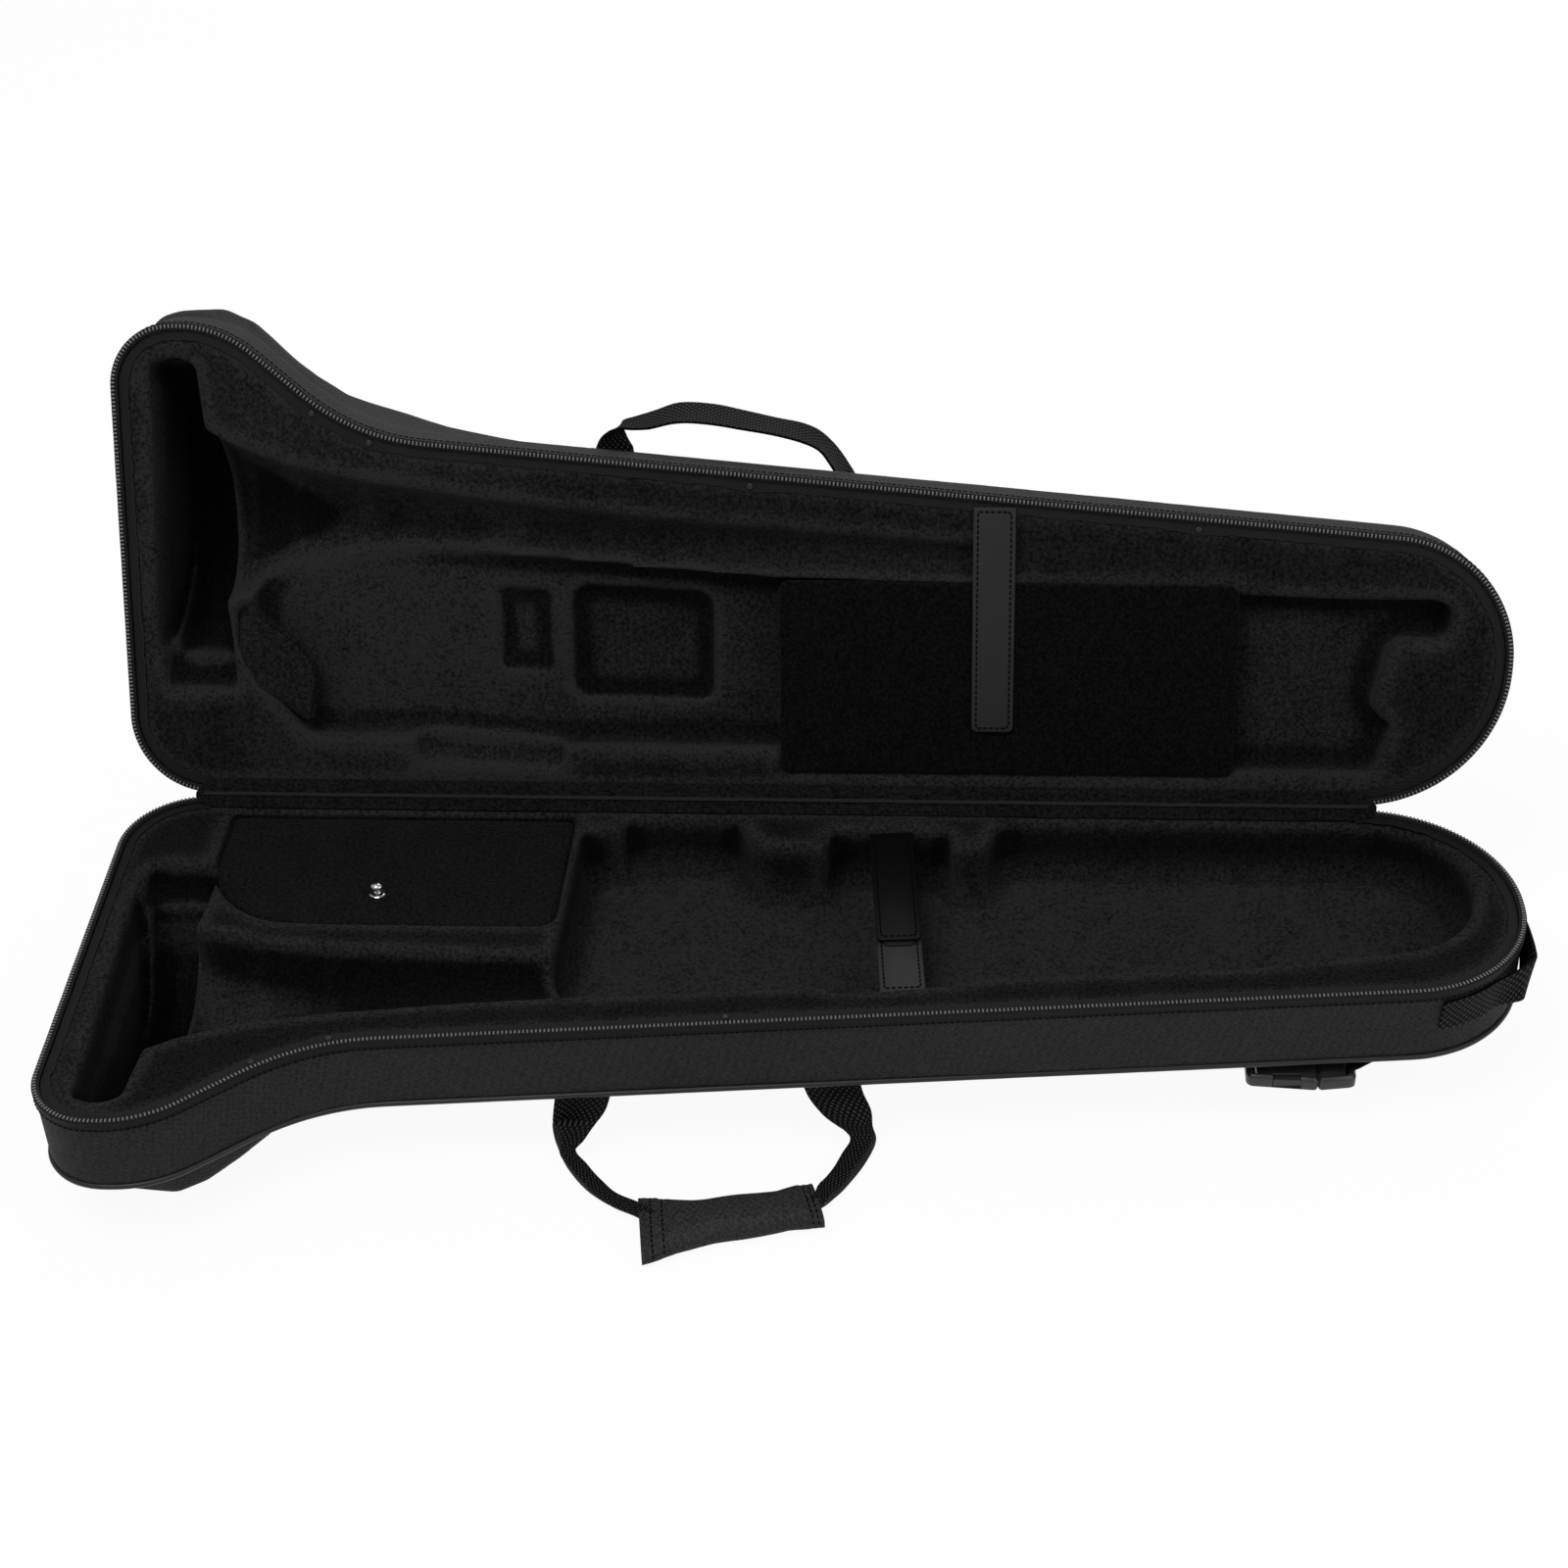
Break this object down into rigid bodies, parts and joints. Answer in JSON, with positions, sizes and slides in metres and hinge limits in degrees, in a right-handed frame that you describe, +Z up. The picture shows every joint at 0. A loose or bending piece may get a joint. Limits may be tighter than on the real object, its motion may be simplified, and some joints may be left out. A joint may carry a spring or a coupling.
{
  "type": "trombone case",
  "caption": "Soft-sided case for a straight trombone, open on its back, with a moulded plush lining, hinged lid, padded carrying handle and zipper rim.",
  "frame": {"origin": "on the floor under the pack's flat underside, about the middle of the case's length", "axes": "+X from the bell end to the narrow end, +Y from the front edge to the hinge, +Z up"},
  "size_m": [1.0113, 0.5617, 0.4474],
  "materials": {
    "twill": "matt woven nylon twill",
    "plush": "short-pile plush",
    "leatherette": "smooth stitched leatherette",
    "webbing": "woven nylon webbing",
    "zipper": "coil zipper on woven tape",
    "plastic": "moulded, satin",
    "chrome": "polished"
  },
  "bodies": {
    "base": {"base_shell": "twill", "base_piping": "twill", "base_lining": "plush", "base_zipper": "zipper", "base_flange": "twill", "harness_pack": "twill", "base_run_left": "webbing", "base_run_right": "webbing", "tail_loop": "webbing", "hinge_strip": "twill", "hinge_web": "twill", "base_rivet_1": "twill", "base_rivet_2": "twill", "base_rivet_3": "twill", "slider_bell": "zipper", "slider_tail": "zipper", "buckle_socket": "plastic", "socket_webbing": "webbing", "plug_webbing": "webbing"},
    "lid": {"lid_shell": "twill", "lid_piping": "twill", "lid_lining": "plush", "lid_zipper": "zipper", "lid_flange": "twill", "lid_rivet_1": "twill", "lid_rivet_2": "twill", "lid_rivet_3": "twill", "lid_rivet_4": "twill", "crook_pad": "plush", "lid_run_left": "webbing", "lid_run_right": "webbing"},
    "accessory_door": {"accessory_door": "plush", "knob_plate": "chrome", "door_knob": "chrome"},
    "slide_cover": {"slide_cover": "plush"},
    "slide_strap": {"slide_strap": "leatherette"},
    "strap_upper": {"strap_upper": "leatherette", "hook_strip": "webbing"},
    "strap_lower": {"strap_lower": "leatherette"},
    "base_handle": {"handle_leg_left": "webbing", "handle_leg_right": "webbing", "handle_grip": "twill"},
    "lid_handle": {"lid_handle": "webbing"},
    "buckle_plug": {"buckle_plug": "plastic"},
    "pull_bell": {"pull_bell": "zipper"},
    "pull_tail": {"pull_tail": "zipper"}
  },
  "joints": [
    {"name": "lid_hinge", "type": "hinge", "parent": "base", "child": "lid", "pos_m": [0, 0.112, 0.116], "axis": [1, 0, 0], "range_deg": [0, 108.3], "deforming": ["hinge_strip", "hinge_web"]},
    {"name": "accessory_door_hinge", "type": "hinge", "parent": "base", "child": "accessory_door", "pos_m": [-0.297, 0.097, 0.1072], "axis": [1, 0, 0], "range_deg": [-90, 0]},
    {"name": "slide_cover_hinge", "type": "hinge", "parent": "lid", "child": "slide_cover", "pos_m": [0.144, 0.1217, 0.1339], "axis": [-1, 0, 0], "range_deg": [-60, 0]},
    {"name": "slide_strap_hinge", "type": "hinge", "parent": "lid", "child": "slide_strap", "pos_m": [0.134, 0.182, 0.3245], "axis": [1, 0, 0], "range_deg": [-141, 0]},
    {"name": "strap_upper_hinge", "type": "hinge", "parent": "base", "child": "strap_upper", "pos_m": [0.062, 0.0832, 0.11], "axis": [1, 0, 0], "range_deg": [-65, 0]},
    {"name": "strap_lower_hinge", "type": "hinge", "parent": "base", "child": "strap_lower", "pos_m": [0.0753, -0.0854, 0.1066], "axis": [-1, 0, 0], "range_deg": [-58.5, 0]},
    {"name": "base_handle_hinge", "type": "hinge", "parent": "base", "child": "base_handle", "pos_m": [-0.14, -0.1436, 0.051], "axis": [0.9956, 0.0935, 0], "range_deg": [-107, 0]},
    {"name": "lid_handle_hinge", "type": "hinge", "parent": "lid", "child": "lid_handle", "pos_m": [-0.138, 0.2405, 0.3428], "axis": [0.9956, -0.0292, -0.0885], "range_deg": [-50, 15]},
    {"name": "buckle_slide", "type": "slide", "parent": "base", "child": "buckle_plug", "axis": [1, 0, 0], "range_m": [0, 0.026], "deforming": ["plug_webbing"]},
    {"name": "pull_bell_hinge", "type": "hinge", "parent": "base", "child": "pull_bell", "pos_m": [-0.448, 0.1166, 0.109], "axis": [1, 0, 0], "range_deg": [0, 60]},
    {"name": "pull_tail_hinge", "type": "hinge", "parent": "base", "child": "pull_tail", "pos_m": [0.4, 0.1166, 0.109], "axis": [1, 0, 0], "range_deg": [0, 60]}
  ],
  "couplings": [
    {"joint": "slide_strap_hinge", "follows": "slide_cover_hinge", "ratio": 2.35},
    {"joint": "strap_lower_hinge", "follows": "strap_upper_hinge", "ratio": 0.9}
  ]
}
